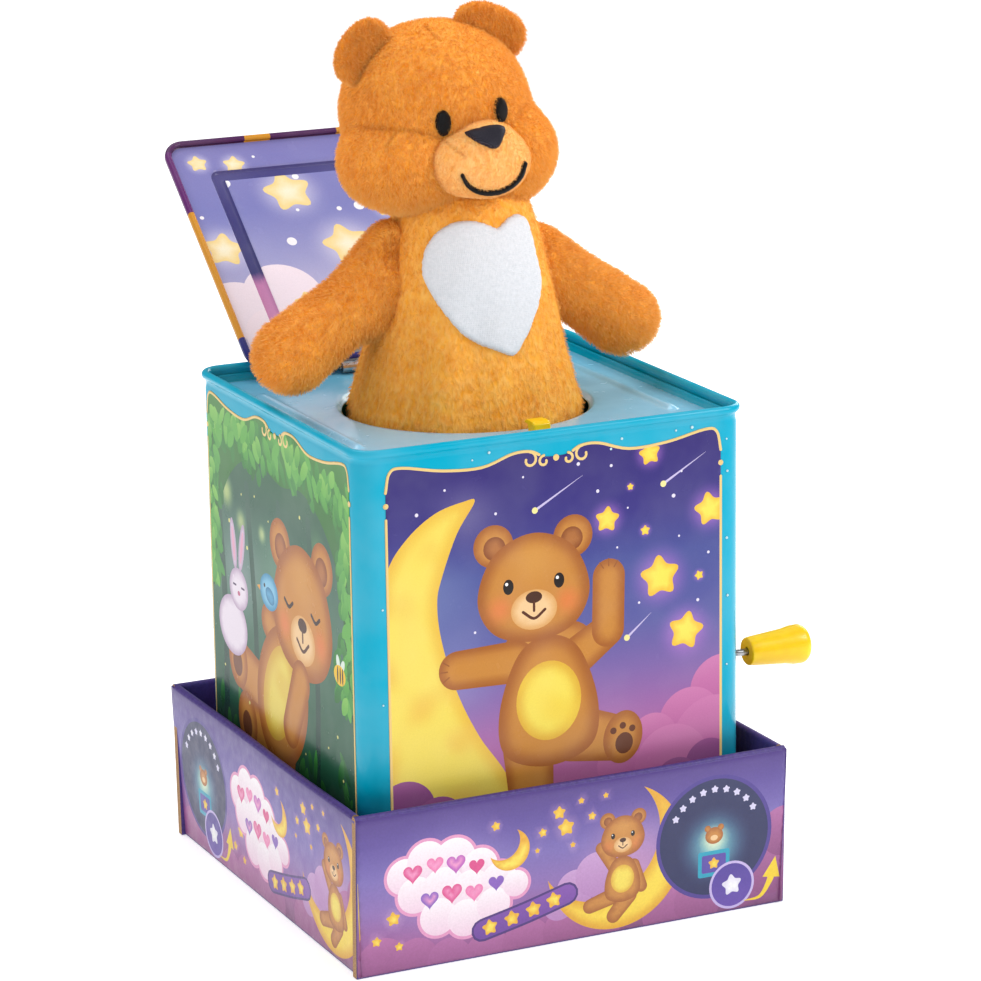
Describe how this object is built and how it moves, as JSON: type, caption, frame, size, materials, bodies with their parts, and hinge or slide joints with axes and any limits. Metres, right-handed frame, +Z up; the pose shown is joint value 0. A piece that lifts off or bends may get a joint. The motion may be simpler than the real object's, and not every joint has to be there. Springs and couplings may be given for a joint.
{
  "type": "jack in the box",
  "caption": "Tin box with a hinged lid, a hand crank with a music movement, and a plush bear that pops up on a spring, standing in a card tray.",
  "frame": {"origin": "middle of the display tray's underside", "axes": "+Z up, -Y towards the front, +X towards the crank"},
  "size_m": [0.1873, 0.2275, 0.3033],
  "materials": {
    "cyan_tin": "glossy printed tin, cyan",
    "sky_tin": "glossy printed tin, pale blue",
    "night_tin": "glossy printed tin, lilac night sky",
    "steel": "bright steel",
    "brass": "plain brass",
    "yellow_plastic": "glossy yellow",
    "white_plastic": "white moulded",
    "grey_plastic": "grey moulded",
    "black_plastic": "black moulded",
    "board": "green circuit board",
    "bear_fur": "short orange-brown plush pile",
    "nose_felt": "dark embroidered felt",
    "heart_fabric": "smooth white fabric",
    "printed_card": "folded card, printed purple and pink",
    "brown_card": "plain brown card",
    "clear_plastic": "frosted translucent",
    "red_lens": "red light",
    "green_lens": "green light",
    "blue_lens": "blue light",
    "cell_wrap": "plain wrapped cell"
  },
  "bodies": {
    "tin": {"tin_body": "cyan_tin", "top_plate": "sky_tin", "bottom_plate": "steel", "hinge_bracket": "steel", "hinge_pin": "steel", "latch_pin": "steel", "latch_bracket": "steel", "latch_spring": "steel", "switch_body": "black_plastic", "crank_bushing": "brass", "movement_inner_plate": "steel", "movement_outer_plate": "steel", "movement_pillar_1": "brass", "movement_pillar_2": "brass", "movement_pillar_3": "brass", "movement_pillar_4": "brass", "comb": "steel", "comb_block": "grey_plastic", "comb_screw_1": "steel", "comb_screw_2": "steel", "spring_base": "steel", "pop_spring": "steel", "light_cable": "black_plastic", "battery_box": "black_plastic", "battery_1": "cell_wrap", "battery_2": "cell_wrap", "battery_contact": "steel", "battery_spring": "steel", "battery_door": "black_plastic", "bear_sleeve": "bear_fur", "bear_heart": "heart_fabric"},
    "lid": {"lid": "night_tin", "lid_hinge_leaf": "steel"},
    "bear": {"bear_head": "bear_fur", "bear_muzzle": "bear_fur", "bear_nose": "nose_felt", "bear_left_ear": "bear_fur", "bear_right_ear": "bear_fur", "spring_cap": "white_plastic", "light_housing": "white_plastic", "light_board": "board", "light_red": "red_lens", "light_green": "green_lens", "light_blue": "blue_lens", "light_diffuser": "clear_plastic"},
    "left_arm": {"bear_left_arm": "bear_fur"},
    "right_arm": {"bear_right_arm": "bear_fur"},
    "latch": {"latch_lever": "yellow_plastic", "release_link": "steel"},
    "plunger": {"switch_plunger": "white_plastic"},
    "crank": {"crank_handle": "steel", "crank_gear": "brass"},
    "knob": {"crank_knob": "yellow_plastic"},
    "drum": {"drum_axle": "steel", "drum_gear": "white_plastic", "music_drum": "brass", "release_cam": "grey_plastic"},
    "tray": {"display_tray": "printed_card", "tray_riser": "brown_card"}
  },
  "joints": [
    {"name": "pop_slide", "type": "slide", "parent": "tin", "child": "bear", "axis": [0, 0, 1], "range_m": [-0.137, 0], "stiffness_N_per_m": 60, "springref_m": 0.02, "deforming": ["pop_spring", "light_cable", "bear_sleeve", "bear_heart", "bear_left_arm", "bear_right_arm"]},
    {"name": "lid_hinge", "type": "hinge", "parent": "tin", "child": "lid", "pos_m": [0, 0.06, 0.1694], "axis": [1, 0, 0], "range_deg": [0, 141]},
    {"name": "left_arm_fold", "type": "hinge", "parent": "bear", "child": "left_arm", "pos_m": [-0.027, 0, 0.213], "axis": [-0.403, 0.6581, 0.6359], "range_deg": [0, 85.4]},
    {"name": "right_arm_fold", "type": "hinge", "parent": "bear", "child": "right_arm", "pos_m": [0.027, 0, 0.213], "axis": [-0.403, -0.6581, -0.6359], "range_deg": [0, 85.4]},
    {"name": "plunger_slide", "type": "slide", "parent": "tin", "child": "plunger", "axis": [0, 0, 1], "range_m": [-0.0016, 0]},
    {"name": "latch_tilt", "type": "hinge", "parent": "tin", "child": "latch", "pos_m": [0, -0.055, 0.16], "axis": [-1, 0, 0], "range_deg": [0, 8]},
    {"name": "crank_turn", "type": "hinge", "parent": "tin", "child": "crank", "pos_m": [0.072, 0, 0.098], "axis": [1, 0, 0], "continuous": true},
    {"name": "knob_spin", "type": "hinge", "parent": "crank", "child": "knob", "pos_m": [0.095, -0.04752, 0.07947], "axis": [1, 0, 0], "continuous": true},
    {"name": "drum_turn", "type": "hinge", "parent": "tin", "child": "drum", "pos_m": [0.056, 0, 0.122], "axis": [1, 0, 0], "continuous": true},
    {"name": "tray_slide", "type": "slide", "parent": "tin", "child": "tray", "axis": [0, 0, 1], "range_m": [-0.04, 0]}
  ],
  "couplings": [
    {"joint": "lid_hinge", "follows": "pop_slide", "rad_per_m": -17.96},
    {"joint": "left_arm_fold", "follows": "pop_slide", "rad_per_m": -10.86},
    {"joint": "right_arm_fold", "follows": "pop_slide", "rad_per_m": -10.86},
    {"joint": "plunger_slide", "follows": "pop_slide", "ratio": 0.01165},
    {"joint": "drum_turn", "follows": "crank_turn", "ratio": -0.33333}
  ]
}
